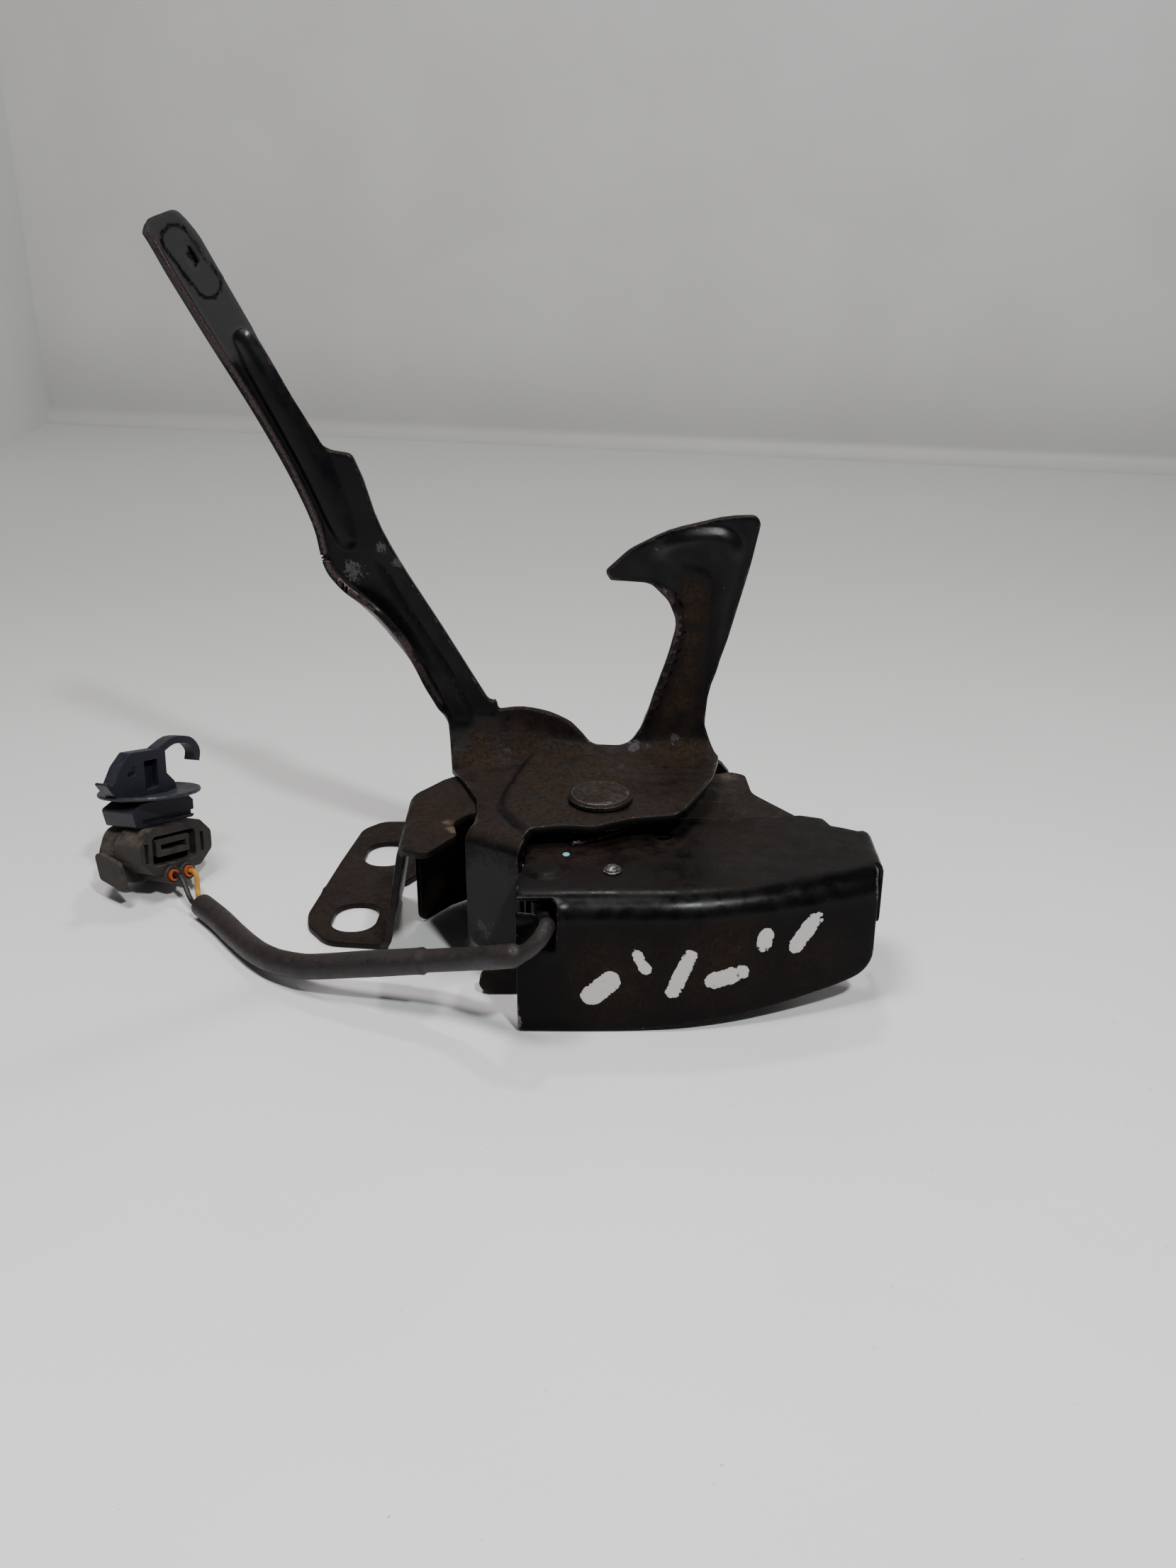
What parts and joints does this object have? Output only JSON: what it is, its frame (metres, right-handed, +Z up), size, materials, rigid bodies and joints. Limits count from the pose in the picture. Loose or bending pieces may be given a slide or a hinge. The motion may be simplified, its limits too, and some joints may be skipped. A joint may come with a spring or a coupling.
{
  "type": "car bonnet latch with safety hook and switch lead",
  "caption": "Pressed steel bonnet latch with a swinging safety hook and finger lever, a striker fork with its pawl, and a short switch lead ending in a connector.",
  "frame": {"origin": "underside of the mounting flange, between its two bolt holes", "axes": "+Z up towards the bonnet, +X from the flange to the shield's far end, +Y away from the shield towards the striker side"},
  "size_m": [0.2244, 0.1311, 0.1928],
  "materials": {
    "base_coat": "dusty black dip coat",
    "shield_coat": "worn satin black dip coat",
    "safety_coat": "worn satin black dip coat",
    "rivet_steel": "scuffed, dark",
    "zinc_steel": "dull yellow zinc",
    "spring_steel": "oiled",
    "fork_coat": "greasy black",
    "switch_plastic": "dusty black",
    "plunger_plastic": "plain",
    "gland_rubber": "matte",
    "lead_rubber": "dusty",
    "sheath_vinyl": "satin",
    "black_wire": "satin",
    "yellow_wire": "satin",
    "seal_rubber": "orange",
    "connector_plastic": "dusty grey-black",
    "clip_plastic": "dark navy"
  },
  "bodies": {
    "base": {"base_plate": "base_coat", "front_shield": "shield_coat", "safety_rivet": "rivet_steel", "pivot_spacer": "zinc_steel", "safety_spring": "spring_steel", "fork_pin": "rivet_steel", "fork_spring": "spring_steel", "pawl_spring": "spring_steel", "switch_body": "switch_plastic", "switch_bracket": "zinc_steel", "bracket_rivet": "rivet_steel", "switch_screw": "rivet_steel", "switch_gland": "gland_rubber", "lead_tail": "lead_rubber", "lead_sheath": "sheath_vinyl", "wire_black": "black_wire", "wire_yellow": "yellow_wire", "wire_seal_black": "seal_rubber", "wire_seal_yellow": "seal_rubber", "connector_housing": "connector_plastic", "connector_insert": "connector_plastic", "connector_lock": "connector_plastic", "harness_clip": "clip_plastic"},
    "safety": {"safety_lever": "safety_coat"},
    "fork": {"latch_fork": "fork_coat"},
    "pawl": {"pawl": "zinc_steel", "pawl_shaft": "rivet_steel", "release_lever": "fork_coat", "shaft_retainer": "rivet_steel"},
    "plunger": {"switch_plunger": "plunger_plastic"}
  },
  "joints": [
    {"name": "safety_swing", "type": "hinge", "parent": "base", "child": "safety", "pos_m": [0.0683, -0.0322, 0.0437], "axis": [0, 0, 1], "range_deg": [-15, 0], "stiffness_Nm_per_rad": 0.3, "springref_deg": 22.92},
    {"name": "pawl_release", "type": "hinge", "parent": "base", "child": "pawl", "pos_m": [0.055, 0, 0.031], "axis": [0, 1, 0], "range_deg": [0, 22], "stiffness_Nm_per_rad": 0.2, "springref_deg": -22.92},
    {"name": "fork_swing", "type": "hinge", "parent": "base", "child": "fork", "pos_m": [0.097, 0.0161, 0.026], "axis": [0, 1, 0], "range_deg": [0, 34]},
    {"name": "plunger_travel", "type": "slide", "parent": "base", "child": "plunger", "axis": [0, 0, -1], "range_m": [0, 0.0025]}
  ],
  "couplings": [
    {"joint": "fork_swing", "follows": "pawl_release", "ratio": 1.5},
    {"joint": "plunger_travel", "follows": "pawl_release", "m_per_rad": 0.0065}
  ]
}
